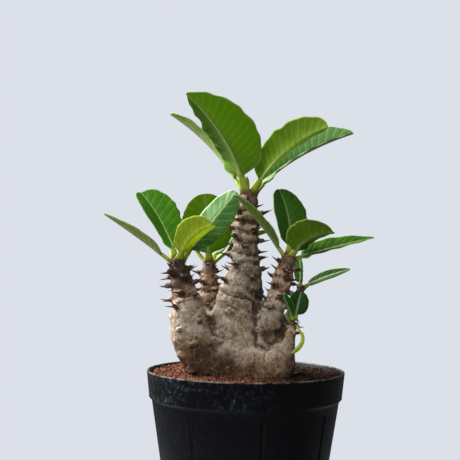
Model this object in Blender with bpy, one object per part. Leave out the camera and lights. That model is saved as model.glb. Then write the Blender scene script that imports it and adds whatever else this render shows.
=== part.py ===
"""A small Pachypodium in a round black nursery pot: a swollen grown trunk with six spiny stems, a crown of
leaves on each stem, and granular soil. Metres, +Z up, origin at the middle of the pot's flat underside; the
front of the plant looks along -Y. The plant's tables are in millimetres, with heights for a pot 80 mm tall."""

import math
import random

import bmesh
import bpy
from mathutils import Matrix, Vector

MM = 0.001

# Pot
RIM_RADIUS = 45.0 * MM
POT_HEIGHT = 80.0 * MM
BAND_HEIGHT = 12.0 * MM
BAND_TAPER = 1.1 * MM
BAND_STEP = 1.1 * MM
BASE_RADIUS = 32.4 * MM
WALL = 1.3 * MM
FLOOR = 1.6 * MM
EDGE_ROUND = 1.6 * MM
TURN_STEPS = 64
GROOVES = 8
GROOVE_TURN = math.radians(10)
GROOVE_RADIUS = 1.4 * MM
GROOVE_DEPTH = 0.65 * MM
GROOVE_TOP = 62.0 * MM
GROOVE_FOOT = 7.0 * MM
DRAIN_HOLES = 4
DRAIN_RADIUS = 4.5 * MM
DRAIN_RING = 19.0 * MM

# Soil
SOIL_DROP = 2.2 * MM
MOUND_HEIGHT = 1.6 * MM
MOUND_CENTRE = Vector((-24 * MM, 17 * MM))
MOUND_WIDTH = 15 * MM
SOIL_GAP = 0.35 * MM
ROOT_GAP = 0.8 * MM

# Trunk, stems and spines
PLANT_LIFT = Vector((0, 0, POT_HEIGHT - 80 * MM))
VOXEL = 1.05 * MM
TRUNK_SHARE = 0.16
ROOT_SPACE_SHARE = 0.08
SPINE_LENGTH = 2.7 * MM
SPINE_RADIUS = 0.65 * MM
SPINE_SINK = 0.9 * MM
SPINE_APART = 0.9 * MM
SPINE_RISE = math.radians(14)
SPINE_SPREAD = math.radians(26)
GOLDEN_ANGLE = math.radians(137.5)

# Leaves
LEAF_GAP = 0.6 * MM
LEAF_THICKNESS = 0.75 * MM
MARGIN_THICKNESS = 0.45 * MM
PETIOLE_THICKNESS = 1.5 * MM
LEAF_ROWS = 10
LEAF_COLUMNS = 4

# Each stem runs from its crown down into the trunk: x, y, z, radius.
STEMS = {
    "centre": [(-0.2, 2, 156.5, 4.6), (-0.5, 2, 146.2, 5.6), (-0.7, 1, 134.8, 5.7), (-0.7, 0, 124.7, 7.4),
               (-1.8, 0, 118.8, 9.2), (-3.5, 0, 110.0, 10.6), (-4.0, 1, 100.0, 14.0)],
    "left": [(-31.8, -4, 127.0, 4.0), (-30.4, -4, 122.5, 4.7), (-28.2, -4, 114.7, 5.9), (-26.6, -5, 108.7, 7.1),
             (-26.0, -5, 103.0, 8.6), (-25.2, -5, 97.0, 9.8), (-21.0, -3, 88.5, 10.2), (-13.0, -2, 80.5, 11.0)],
    "rear_left": [(-17.4, 14, 126.0, 3.1), (-17.9, 14, 121.5, 3.9), (-17.6, 13, 114.7, 4.7),
                  (-16.5, 11, 107.0, 4.8), (-12.0, 8, 98.0, 6.5)],
    "right": [(18.2, -4, 129.7, 3.5), (16.3, -5, 123.3, 4.2), (14.4, -6, 116.5, 4.3), (12.2, -7, 111.0, 5.1),
              (10.6, -8, 105.3, 6.4), (9.2, -7, 98.5, 6.8), (5.0, -5, 91.0, 9.0)],
    "rear_right": [(24.8, 7, 116.6, 2.1), (23.4, 6, 111.5, 2.3), (20.0, 4, 104.0, 3.0), (13.0, 0, 98.0, 4.5)],
    "offset": [(20.9, -12, 102.6, 2.2), (19.2, -12.5, 97.5, 3.2), (16.6, -13, 91.0, 5.6), (12.0, -10, 84.0, 10.4)],
}
TRUNK = [
    (-4, 3, 93, 15.5), (-9, 2, 91, 14.5), (2, 3, 88, 14.0), (-4, 2, 78, 15.0), (6, -4, 82, 12.0),
    (-13, 0, 89, 12.0), (-6, -2, 88, 13.0), (0, -3, 86, 13.5), (3, -3, 95, 12.0), (7, -5, 89, 12.0),
]
ROOTS = [
    [(-4, 2, 78, 14.0), (-3, 2, 62, 8.5), (-2, 1, 44, 4.6), (-1, 0, 26, 2.6)],
    [(-8, 0, 72, 5.5), (-20, -8, 58, 3.2), (-26, -13, 42, 2.2)],
    [(6, -2, 72, 5.0), (20, 6, 57, 3.0), (25, 11, 42, 2.2)],
    [(-3, 8, 70, 5.0), (-5, 22, 55, 2.8), (0, 27, 40, 2.1)],
]
# Where knobs with paired spines sit on a stem: first and last distance below the crown, spacing, first turn.
SPINED = {
    "centre": (2.0, 38.0, 2.05, 20),
    "left": (1.5, 21.0, 1.75, 190),
    "rear_left": (1.5, 20.0, 1.75, 10),
    "right": (1.0, 24.0, 1.80, 170),
    "rear_right": (1.0, 6.0, 1.70, 60),
    "offset": (0.8, 7.5, 1.60, 0),
}
KNOB_RADIUS = 2.4 * MM
KNOB_HEIGHT = 1.9 * MM
KNOB_ROOT = 1.2 * MM

# Leaves: stem, bend and tip measured from the crown's centre, direction the upper face looks, half width,
# fold of each half in degrees, where the blade is widest, fullness, share of petiole, extra reach.
LEAVES = {
    "leaf_centre_front_left":
        ("centre", (-6.5, -12, 28), (-28.3, -19, 47.5), (0.45, 0.85, 0.3), 15.5, 42, 0.36, 1.5, 0.10, 0),
    "leaf_centre_front_right":
        ("centre", (12, -5.5, 24.5), (35.3, -14, 34), (-0.3, 0.9, 0.35), 11, 50, 0.52, 1.2, 0.14, 0),
    "leaf_centre_back_right":
        ("centre", (16, 11, 22), (49.5, 14, 33.5), (-0.35, -0.5, 0.8), 11, 35, 0.48, 1.5, 0.14, 0),
    "leaf_centre_back_left":
        ("centre", (-13, 18, 27), (-37, 21, 42), (0.7, 0, 0.7), 6, 35, 0.45, 1.5, 0.12, 0),
    "leaf_centre_bud":
        ("centre", (0, 1.5, 8), (-0.5, 1.5, 12), (0, 0.9, 0.1), 1.1, 30, 0.50, 1.2, 0.10, 0),
    "leaf_left_outer":
        ("left", (-14, -3, 11), (-33, -6, 23.4), (0.55, 0, 0.83), 5.5, 35, 0.42, 1.6, 0.15, 0),
    "leaf_left_back":
        ("left", (-5.5, 6, 20), (-18, 14, 33.5), (0.6, -0.7, 0.4), 10.5, 25, 0.55, 1.1, 0.12, 0),
    "leaf_left_front":
        ("left", (3.5, -8, 13.5), (16, -18, 18.7), (-0.1, 0.8, 0.6), 8.5, 45, 0.50, 1.1, 0.15, 0),
    "leaf_left_inner":
        ("left", (12, 1, 16.5), (26.5, 6, 34), (-0.35, -0.75, 0.45), 7.8, 15, 0.52, 1.2, 0.15, 0.2),
    "leaf_rear_left_front":
        ("rear_left", (-1, -2, 18), (-2.5, -6, 34.5), (0, 0.9, 0.2), 12.2, 12, 0.48, 1.0, 0.12, 0),
    "leaf_rear_left_outer":
        ("rear_left", (-7, 4, 9), (-15, 8, 16), (0.4, 0.2, 0.8), 5, 30, 0.50, 1.3, 0.30, 0),
    "leaf_rear_left_inner":
        ("rear_left", (10, 0, 11), (27, 7, 17), (-0.4, 0.2, 0.8), 4.5, 30, 0.50, 1.3, 0.30, 0),
    "leaf_rear_left_back":
        ("rear_left", (4, 9, 13), (15, 18, 23), (-0.3, -0.6, 0.5), 7.5, 20, 0.50, 1.2, 0.15, 0),
    "leaf_right_inner":
        ("right", (-9, -5, 14), (-24.5, -9, 30), (0.78, 0, 0.62), 6, 35, 0.50, 1.4, 0.15, 0),
    "leaf_right_back":
        ("right", (3, 6, 19), (-3.8, 14, 33.3), (0.5, -0.8, 0.3), 9.3, 18, 0.50, 1.1, 0.12, 0),
    "leaf_right_front":
        ("right", (7, -7, 12.5), (19, -16, 13.8), (-0.3, 0.7, 0.6), 10, 30, 0.45, 1.1, 0.15, 0),
    "leaf_right_outer":
        ("right", (14, 3, 5.4), (40, 8, 11.5), (-0.1, -0.45, 0.85), 6, 25, 0.42, 1.3, 0.12, 0),
    "leaf_rear_right_upright":
        ("rear_right", (0.3, 1, 8), (-0.3, 2, 15.5), (-0.8, -0.5, 0), 3.8, 20, 0.50, 1.1, 0.10, 0),
    "leaf_rear_right_outer":
        ("rear_right", (9, 2, 6), (23.5, 5, 9.6), (-0.2, -0.6, 0.75), 3.2, 15, 0.50, 1.3, 0.12, 0),
    "leaf_offset_round":
        ("offset", (1.5, 1.5, 7), (3.4, 4, 14), (0.2, -0.9, 0.2), 4.8, 10, 0.50, 0.9, 0.20, 0),
    "leaf_offset_narrow":
        ("offset", (-2.3, -1, 6), (-5, -2, 13.6), (0.4, 0.6, 0.3), 2.6, 40, 0.50, 1.2, 0.15, 0),
    "leaf_offset_bud":
        ("offset", (-2.5, -1.5, 0.5), (-3.8, -3, 4.5), (0.5, 0.6, 0.5), 1.0, 10, 0.50, 1.2, 0.20, 0.3),
    "leaf_offset_drooping":
        ("offset", (6.5, -6.8, -6.2), (-1.2, -9.6, -12.6), (0.6, 0.6, 0.3), 1.6, 30, 0.50, 1.2, 0.20, 2.0),
}

LEAF_GREEN = (0.07, 0.22, 0.03)
LEAF_COLOURS = {
    "leaf_centre_front_left": (0.08, 0.24, 0.01),
    "leaf_centre_front_right": (0.13, 0.30, 0.01),
    "leaf_centre_back_right": (0.06, 0.22, 0.08),
    "leaf_centre_bud": (0.42, 0.40, 0.20),
    "leaf_left_outer": (0.16, 0.28, 0.05),
    "leaf_left_front": (0.25, 0.40, 0.01),
    "leaf_left_inner": (0.08, 0.27, 0.07),
    "leaf_right_inner": (0.08, 0.18, 0.03),
    "leaf_right_back": (0.03, 0.11, 0.01),
    "leaf_right_front": (0.12, 0.20, 0.02),
    "leaf_rear_right_outer": (0.05, 0.14, 0.03),
    "leaf_offset_round": (0.02, 0.12, 0.02),
    "leaf_offset_bud": (0.30, 0.38, 0.06),
    "leaf_offset_drooping": (0.30, 0.42, 0.03),
}


def clear_scene():
    for obj in list(bpy.data.objects):
        bpy.data.objects.remove(obj, do_unlink=True)


def material(name, colour, roughness):
    made = bpy.data.materials.new(name)
    made.use_nodes = True
    shader = made.node_tree.nodes["Principled BSDF"]
    shader.inputs["Base Color"].default_value = (*colour, 1)
    shader.inputs["Roughness"].default_value = roughness
    return made


def add_object(name, bm, made=None, smooth=True):
    for face in bm.faces:
        face.smooth = smooth
    mesh = bpy.data.meshes.new(name)
    bm.to_mesh(mesh)
    bm.free()
    obj = bpy.data.objects.new(name, mesh)
    if made:
        mesh.materials.append(made)
    bpy.context.scene.collection.objects.link(obj)
    return obj


def hide_helper(obj):
    obj.hide_render = True
    obj.display_type = "WIRE"


def boolean(obj, other, operation):
    modifier = obj.modifiers.new(other.name, "BOOLEAN")
    modifier.operation = operation
    modifier.solver = "EXACT"
    modifier.object = other


def planted(x, y, z):
    """A point of the plant tables in metres, raised with the pot."""
    return Vector((x, y, z)) * MM + PLANT_LIFT


def turned(profile):
    """The closed solid that a profile of (radius, height) points, axis to axis, sweeps around Z."""
    bm = bmesh.new()
    points = [bm.verts.new((radius, 0, height)) for radius, height in profile]
    edges = [bm.edges.new(pair) for pair in zip(points, points[1:])]
    bmesh.ops.spin(bm, geom=points + edges, cent=(0, 0, 0), axis=(0, 0, 1), angle=math.tau, steps=TURN_STEPS)
    bmesh.ops.remove_doubles(bm, verts=bm.verts[:], dist=0.00001)
    bmesh.ops.recalc_face_normals(bm, faces=bm.faces[:])
    return bm


def body_radius(height):
    """The pot's outer radius below the band."""
    top = POT_HEIGHT - BAND_HEIGHT
    widest = RIM_RADIUS - BAND_TAPER - BAND_STEP
    return BASE_RADIUS + (widest - BASE_RADIUS) * height / top


# ---------------------------------------------------------------- pot

def build_pot():
    band_foot = POT_HEIGHT - BAND_HEIGHT
    band_radius = RIM_RADIUS - BAND_TAPER
    profile = [
        (0, 0),
        (BASE_RADIUS - EDGE_ROUND, 0),
        (BASE_RADIUS - 0.3 * EDGE_ROUND, 0.3 * EDGE_ROUND),
        (body_radius(EDGE_ROUND), EDGE_ROUND),
        (body_radius(band_foot - 0.6 * BAND_STEP), band_foot - 0.6 * BAND_STEP),
        (band_radius - 0.25 * BAND_STEP, band_foot),
        (band_radius, band_foot + 0.8 * BAND_STEP),
        (RIM_RADIUS, POT_HEIGHT - 0.4 * WALL),
        (RIM_RADIUS - 0.35 * WALL, POT_HEIGHT),
        (RIM_RADIUS - 0.75 * WALL, POT_HEIGHT),
        (RIM_RADIUS - WALL, POT_HEIGHT - 0.4 * WALL),
        (band_radius - WALL, band_foot),
        (body_radius(band_foot - 2 * BAND_STEP) - WALL, band_foot - 2 * BAND_STEP),
        (body_radius(FLOOR + EDGE_ROUND) - WALL, FLOOR + EDGE_ROUND),
        (body_radius(FLOOR) - WALL - EDGE_ROUND, FLOOR),
        (0, FLOOR),
    ]
    pot = add_object("pot", turned(profile), material("pot_plastic", (0.012, 0.013, 0.015), 0.5))
    boolean(pot, groove_cutter(), "DIFFERENCE")
    boolean(pot, drain_cutter(), "DIFFERENCE")


def groove_cutter():
    """Eight round-ended bars lying just outside the tapered wall."""
    bm = bmesh.new()
    for index in range(GROOVES):
        turn = Matrix.Rotation(GROOVE_TURN + index * math.tau / GROOVES, 4, "Z")
        ends = []
        for height in (GROOVE_FOOT, GROOVE_TOP):
            out = body_radius(height) + GROOVE_RADIUS - GROOVE_DEPTH
            ends.append(turn @ Vector((0, -out, height)))
        along = ends[1] - ends[0]
        tilt = along.to_track_quat("Z", "Y").to_matrix().to_4x4()
        bar = bmesh.ops.create_uvsphere(bm, u_segments=10, v_segments=8, radius=GROOVE_RADIUS)["verts"]
        for vert in bar:
            stretch = along.length if vert.co.z > 1e-6 else 0
            vert.co = ends[0] + tilt @ (vert.co + Vector((0, 0, stretch)))
    cutter = add_object("groove_cutter", bm)
    hide_helper(cutter)
    return cutter


def drain_cutter():
    bm = bmesh.new()
    for index in range(DRAIN_HOLES):
        turn = Matrix.Rotation((index + 0.5) * math.tau / DRAIN_HOLES, 4, "Z")
        place = turn @ Matrix.Translation((DRAIN_RING, 0, 0.5 * FLOOR))
        bmesh.ops.create_cone(bm, cap_ends=True, segments=20, radius1=DRAIN_RADIUS, radius2=DRAIN_RADIUS,
                              depth=3 * FLOOR, matrix=place)
    cutter = add_object("drain_cutter", bm)
    hide_helper(cutter)
    return cutter


# ---------------------------------------------------------------- trunk and stems

def add_taper(bm, start, end, grow):
    """A tapered limb between two (x, y, z, radius) points, with a ball on its start."""
    first, second = planted(*start[:3]), planted(*end[:3])
    along = second - first
    tilt = along.to_track_quat("Z", "Y").to_matrix().to_4x4()
    middle = Matrix.Translation((first + second) / 2) @ tilt
    bmesh.ops.create_cone(bm, cap_ends=True, segments=24, radius1=start[3] * MM + grow,
                          radius2=end[3] * MM + grow, depth=along.length, matrix=middle)
    add_ball(bm, first, start[3] * MM + grow)


def add_ball(bm, centre, radius):
    bmesh.ops.create_icosphere(bm, subdivisions=3, radius=radius, matrix=Matrix.Translation(centre))


def point_below_crown(name, distance):
    """Axis point, radius and upward direction of a stem at a distance below its crown."""
    nodes = STEMS[name]
    for upper, lower in zip(nodes, nodes[1:]):
        top, foot = planted(*upper[:3]), planted(*lower[:3])
        length = (top - foot).length
        if distance <= length:
            share = distance / length
            radius = (upper[3] + (lower[3] - upper[3]) * share) * MM
            return top.lerp(foot, share), radius, (top - foot).normalized()
        distance -= length
    return foot, lower[3] * MM, (top - foot).normalized()


def knobs():
    """(place on the stem's skin, outward direction, direction along the stem, size) of every spined knob."""
    chance = random.Random(7)
    for name, (first, last, spacing, turn) in SPINED.items():
        count = int((last - first) / spacing)
        for index in range(count):
            distance = (first + index * spacing) * MM
            centre, radius, up = point_below_crown(name, distance)
            angle = math.radians(turn) + index * GOLDEN_ANGLE + chance.uniform(-0.2, 0.2)
            across = up.orthogonal().normalized()
            outward = Matrix.Rotation(angle, 3, up) @ across
            size = 1 - 0.3 * index / count
            yield centre + outward * radius, outward, up, size * min(1, radius / (3.2 * MM))


def trunk_mesh(grow):
    bm = bmesh.new()
    for limb in list(STEMS.values()) + ROOTS:
        for start, end in zip(limb, limb[1:]):
            add_taper(bm, start, end, grow)
        add_ball(bm, planted(*limb[-1][:3]), limb[-1][3] * MM + grow)
    for *centre, radius in TRUNK:
        add_ball(bm, planted(*centre), radius * MM + grow)
    for place, outward, up, size in knobs():
        lift = (outward + up * 0.25).normalized()
        height = KNOB_HEIGHT * size + KNOB_ROOT + grow
        tilt = lift.to_track_quat("Z", "Y").to_matrix().to_4x4()
        middle = place + lift * (height / 2 - KNOB_ROOT)
        bmesh.ops.create_cone(bm, cap_ends=True, segments=12, radius1=KNOB_RADIUS * size + grow,
                              radius2=0.4 * KNOB_RADIUS * size + grow, depth=height,
                              matrix=Matrix.Translation(middle) @ tilt)
    return bm


def grown_skin(obj, share):
    """Melts the overlapping limbs into one smooth skin."""
    remesh = obj.modifiers.new("one skin", "REMESH")
    remesh.mode = "VOXEL"
    remesh.voxel_size = VOXEL
    smooth = obj.modifiers.new("soft joins", "SMOOTH")
    smooth.factor = 0.5
    smooth.iterations = 2
    lighter = obj.modifiers.new("lighter", "DECIMATE")
    lighter.ratio = share


def spine_mesh():
    bm = bmesh.new()
    for place, outward, up, size in knobs():
        across = up.cross(outward).normalized()
        for side in (-1, 1):
            lean = outward * math.cos(SPINE_SPREAD) + across * side * math.sin(SPINE_SPREAD)
            direction = (lean * math.cos(SPINE_RISE) + up * math.sin(SPINE_RISE)).normalized()
            foot = place + outward * KNOB_HEIGHT * size * 0.6 + across * side * SPINE_APART
            root = foot - direction * SPINE_SINK
            length = SPINE_LENGTH * size + SPINE_SINK
            tilt = direction.to_track_quat("Z", "Y").to_matrix().to_4x4()
            bmesh.ops.create_cone(bm, cap_ends=True, segments=4, radius1=SPINE_RADIUS, radius2=0.08 * MM,
                                  depth=length, matrix=Matrix.Translation(root + direction * length / 2) @ tilt)
    return bm


def build_trunk():
    trunk = add_object("trunk", trunk_mesh(0), material("bark", (0.26, 0.20, 0.15), 0.8))
    grown_skin(trunk, TRUNK_SHARE)
    spines = add_object("spine_shapes", spine_mesh())
    hide_helper(spines)
    boolean(trunk, spines, "UNION")
    trunk.modifiers[spines.name].use_self = True


# ---------------------------------------------------------------- soil

def soil_rise(x, y):
    """Height of the heaped soil above its level surface."""
    away = (Vector((x, y)) - MOUND_CENTRE).length / MOUND_WIDTH
    ripple = 0.35 * MM * math.sin(x / (5.5 * MM)) * math.cos(y / (4.5 * MM))
    return MOUND_HEIGHT * math.exp(-away * away) + ripple


def build_soil():
    surface = POT_HEIGHT - SOIL_DROP
    band_foot = POT_HEIGHT - BAND_HEIGHT
    inside = WALL + SOIL_GAP
    under_band = band_foot - 2 * BAND_STEP
    rim_slope = (BAND_TAPER * (surface - band_foot)) / BAND_HEIGHT
    edge = RIM_RADIUS - BAND_TAPER + rim_slope - inside - 0.1 * MM
    floor = FLOOR + SOIL_GAP
    profile = [
        (0, floor),
        (body_radius(floor) - inside - EDGE_ROUND, floor),
        (body_radius(floor + 1.2 * EDGE_ROUND) - inside, floor + 1.2 * EDGE_ROUND),
        (body_radius(under_band) - inside, under_band),
        (RIM_RADIUS - BAND_TAPER - inside, band_foot),
        (edge, surface),
    ]
    rings = 4
    profile += [(edge * (1 - ring / rings), surface) for ring in range(1, rings + 1)]
    bm = turned(profile)
    for vert in bm.verts:
        if vert.co.z > surface - 0.01 * MM:
            vert.co.z += soil_rise(vert.co.x, vert.co.y)
    soil = add_object("soil", bm, material("soil_grains", (0.32, 0.10, 0.04), 0.95))
    space = add_object("root_space", trunk_mesh(ROOT_GAP))
    grown_skin(space, ROOT_SPACE_SHARE)
    hide_helper(space)
    boolean(soil, space, "DIFFERENCE")


# ---------------------------------------------------------------- leaves

def blade_width(along, widest, fullness):
    """Share of the leaf's half width, nothing at both ends and one at the widest place."""
    if along <= 0 or along >= 1:
        return 0
    rising = (along / widest) ** (widest * fullness)
    falling = ((1 - along) / (1 - widest)) ** ((1 - widest) * fullness)
    foot = min(1, along * 8 + 0.1)
    return rising * falling * foot * foot * (3 - 2 * foot)


def leaf_point(row, along, across, level):
    """A point of the leaf: along 0 to 1 from stem to tip, across -1 to 1, level -1 underside to 1 top."""
    stem, bend, tip, face, half_width, fold, widest, fullness, petiole, reach = row
    *crown, crown_radius = STEMS[stem][0]
    bend, tip = Vector(bend) * MM, Vector(tip) * MM
    start = bend.normalized() * ((crown_radius + reach) * MM + LEAF_GAP)
    rib = start * (1 - along) ** 2 + bend * 2 * along * (1 - along) + tip * along ** 2
    run = ((bend - start) * (1 - along) + (tip - bend) * along).normalized()
    upward = Vector(face)
    upward = (upward - run * upward.dot(run)).normalized()
    sideways = upward.cross(run)
    blade = (along - petiole) / (1 - petiole)
    stalk = 0.9 * MM * min(1, half_width / 5 + 0.3)
    width = max(stalk, half_width * MM * blade_width(blade, widest, fullness))
    angle = math.radians(fold) * min(1, max(0, blade * 6))
    thin = min(1, max(0, blade * 5))
    stalk_thickness = min(PETIOLE_THICKNESS, 1.7 * stalk)
    middle = stalk_thickness + (LEAF_THICKNESS - stalk_thickness) * thin
    edge = 0.45 * middle + (MARGIN_THICKNESS - 0.45 * middle) * thin
    thickness = middle + (edge - middle) * across ** 2
    flat = sideways * across * width * math.cos(angle) + upward * abs(across) * width * math.sin(angle)
    return planted(*crown) + rib + flat + upward * level * thickness / 2


def build_leaf(name, row):
    bm = bmesh.new()
    bmesh.ops.create_grid(bm, x_segments=LEAF_ROWS, y_segments=LEAF_COLUMNS, size=1)
    raised = bmesh.ops.extrude_face_region(bm, geom=bm.faces[:])["geom"]
    top = [item for item in raised if isinstance(item, bmesh.types.BMVert)]
    bmesh.ops.translate(bm, verts=top, vec=(0, 0, 2))
    bmesh.ops.recalc_face_normals(bm, faces=bm.faces[:])
    for vert in bm.verts:
        vert.co = leaf_point(row, (vert.co.x + 1) / 2, vert.co.y, vert.co.z - 1)
    add_object(name, bm, material(name + "_green", LEAF_COLOURS.get(name, LEAF_GREEN), 0.4))


def build_leaves():
    for name, row in LEAVES.items():
        build_leaf(name, row)


clear_scene()
build_pot()
build_trunk()
build_soil()
build_leaves()
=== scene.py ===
"""A small pachypodium in a round black nursery pot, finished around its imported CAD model.

A fine pot, loose soil grains, spined bark and veined leaves. Metres, +Z up, and the front faces -Y. The plant's
tables are in millimetres.
"""

import math
import random

import bmesh
import bpy
import numpy as np
from mathutils import Matrix, Vector, noise
from mathutils.bvhtree import BVHTree


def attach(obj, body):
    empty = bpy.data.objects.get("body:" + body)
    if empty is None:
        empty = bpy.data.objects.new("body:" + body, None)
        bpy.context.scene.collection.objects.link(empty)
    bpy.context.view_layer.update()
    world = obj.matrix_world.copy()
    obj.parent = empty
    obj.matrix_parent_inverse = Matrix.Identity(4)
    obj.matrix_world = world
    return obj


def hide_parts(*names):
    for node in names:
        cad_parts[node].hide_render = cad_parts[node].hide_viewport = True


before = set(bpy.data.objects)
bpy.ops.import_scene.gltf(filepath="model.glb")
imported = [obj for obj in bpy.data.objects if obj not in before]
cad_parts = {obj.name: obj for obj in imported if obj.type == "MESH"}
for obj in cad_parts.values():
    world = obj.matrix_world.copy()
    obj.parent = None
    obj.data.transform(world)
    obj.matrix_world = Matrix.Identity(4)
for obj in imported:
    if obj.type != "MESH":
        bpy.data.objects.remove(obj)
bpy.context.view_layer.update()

MM = 0.001
TURN = math.tau

# Pot
RIM_RADIUS = 45.0 * MM
POT_HEIGHT = 80.0 * MM
BAND_HEIGHT = 12.0 * MM
BAND_TAPER = 1.1 * MM
BAND_STEP = 1.1 * MM
BASE_RADIUS = 32.4 * MM
WALL = 1.3 * MM
FLOOR = 1.6 * MM
POT_STEPS = 180
GROOVES = 8
GROOVE_TURN = math.radians(10)
GROOVE_RADIUS = 1.4 * MM
GROOVE_DEPTH = 0.65 * MM
GROOVE_TOP = 62.0 * MM
GROOVE_FOOT = 7.0 * MM
DRAIN_HOLES = 4
DRAIN_RADIUS = 4.5 * MM
DRAIN_RING = 19.0 * MM

# Soil
SOIL_TOP = 77.6 * MM
SOIL_RADIUS = 42.9 * MM
MOUND_HEIGHT = 1.6 * MM
MOUND_CENTRE = Vector((-24 * MM, 17 * MM))
MOUND_WIDTH = 15 * MM
GRAINS = 3400

# Trunk, stems and spines
VOXEL = 0.62 * MM
SPINE_LENGTH = 3.7 * MM
SPINE_RADIUS = 1.05 * MM
GOLDEN_ANGLE = math.radians(137.5)
KNOB_WIDE = 2.4 * MM
KNOB_TALL = 2.2 * MM
KNOB_OUT = 2.6 * MM
SCALES = 10
SCALE_LENGTH = 3.2 * MM

# Each stem runs from its crown down into the trunk: x, y, z, radius.
STEMS = {
    "centre": [(-0.2, 2, 156.5, 4.6), (-0.5, 2, 146.2, 5.6), (-0.7, 1, 134.8, 5.7), (-0.7, 0, 124.7, 7.4),
               (-1.8, 0, 118.8, 9.2), (-3.5, 0, 110.0, 10.6), (-4.0, 1, 100.0, 14.0)],
    "left": [(-31.8, -4, 127.0, 4.0), (-30.4, -4, 122.5, 4.7), (-28.2, -4, 114.7, 5.9), (-26.6, -5, 108.7, 7.1),
             (-26.0, -5, 103.0, 8.6), (-25.2, -5, 97.0, 9.8), (-21.0, -3, 88.5, 10.2), (-13.0, -2, 80.5, 11.0)],
    "rear_left": [(-17.4, 14, 126.0, 3.1), (-17.9, 14, 121.5, 3.9), (-17.6, 13, 114.7, 4.7),
                  (-16.5, 11, 107.0, 4.8), (-12.0, 8, 98.0, 6.5)],
    "right": [(18.2, -4, 129.7, 3.5), (16.3, -5, 123.3, 4.2), (14.4, -6, 116.5, 4.3), (12.2, -7, 111.0, 5.1),
              (10.6, -8, 105.3, 6.4), (9.2, -7, 98.5, 6.8), (5.0, -5, 91.0, 9.0)],
    "rear_right": [(24.8, 7, 116.6, 2.1), (23.4, 6, 111.5, 2.3), (20.0, 4, 104.0, 3.0), (13.0, 0, 98.0, 4.5)],
    "offset": [(20.9, -12, 102.6, 2.2), (19.2, -12.5, 97.5, 3.2), (16.6, -13, 91.0, 5.6),
               (12.0, -10, 84.0, 10.4)],
}
TRUNK = [
    (-4, 3, 93, 15.5), (-9, 2, 91, 14.5), (2, 3, 88, 14.0), (-4, 2, 78, 15.0), (6, -4, 82, 12.0),
    (-13, 0, 89, 12.0), (-6, -2, 88, 13.0), (0, -3, 86, 13.5), (3, -3, 95, 12.0), (7, -5, 89, 12.0),
]
ROOTS = [
    [(-4, 2, 78, 14.0), (-3, 2, 62, 8.5), (-2, 1, 44, 4.6), (-1, 0, 26, 2.6)],
    [(-8, 0, 72, 5.5), (-20, -8, 58, 3.2), (-26, -13, 42, 2.2)],
    [(6, -2, 72, 5.0), (20, 6, 57, 3.0), (25, 11, 42, 2.2)],
    [(-3, 8, 70, 5.0), (-5, 22, 55, 2.8), (0, 27, 40, 2.1)],
]
# Where knobs with paired spines sit on a stem: first and last distance below the crown, spacing, first turn,
# size.
SPINED = {
    "centre": (1.6, 39.0, 1.60, 20, 1.30),
    "left": (1.5, 21.0, 1.25, 190, 1.05),
    "rear_left": (1.5, 22.0, 1.40, 10, 1.0),
    "right": (1.0, 25.0, 1.40, 170, 1.05),
    "rear_right": (1.0, 6.0, 1.50, 60, 0.9),
    "offset": (0.8, 8.5, 1.40, 0, 1.0),
}
# Low on a stem the knobs are worn down and stand further apart: last distance below the crown, spacing.
WORN = {"centre": (52.0, 2.4), "left": (52.0, 1.7), "rear_left": (34.0, 2.0), "right": (40.0, 1.9)}
# Dark spots on the bark, partly stains and partly painted shade under the bulges near the soil: x, y, z, size.
STAINS_AND_SHADE_SPOTS = [(-19.4, -13, 84.5, 1.2), (-11, -15, 82.5, 1.0), (22, -8, 79, 0.7), (-28, -6, 83, 0.6),
          (9, -14, 97, 0.4), (-14, -6, 100, 0.6), (-10, 16, 84, 0.9), (14, 12, 84, 0.8)]
# Paler spots on the bark, partly bleached patches and partly painted highlights on the lit tops of the bulges: x,
# y, z, size.
BLEACH_AND_HIGHLIGHT_SPOTS = [(-3, -15, 89, 0.9), (15, -15, 91, 0.75), (13, -12, 108, 0.8), (-27, -13, 104, 0.8),
            (-33, -9, 96, 0.8), (-8, -10, 99, 0.6), (-6, 16, 92, 0.9), (-26, 5, 96, 0.8)]
PATCH_REACH = 13 * MM
# The fold between the centre stem, the right stem and the bulge under the offset, on the front: x and z of its
# points, how far it spreads to each side and how deep it is.
FOLD = [(7.4, 116.7), (3.9, 106.4), (3.1, 99.5), (3.9, 93.0), (9.1, 92.6), (13.4, 95.6), (16.5, 101.0)]
FOLD_REACH = 3.2
FOLD_DEPTH = 1.3
# Brown scars of dropped knobs: x, y, z, size.
BROWN_MARKS = [(-6.6, -11.6, 106.8, 1.2), (-22.3, -14.6, 95.5, 0.9), (13.6, -14.5, 101.0, 0.9),
               (-30.6, -13.0, 101.0, 0.8)]
# Relief of the bark: how far each kind lifts the skin, the height of one ripple, where ripples start and how
# soon they are full.
SWELL_LIFT = 0.75 * MM
ROUGH_LIFT = 0.26 * MM
WORN_LIFT = 1.2 * MM
BAND_LIFT = 0.32 * MM
RIPPLE = 4.9 * MM
RIPPLES_FROM = 103 * MM
RIPPLES_FADE = 9 * MM

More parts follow.
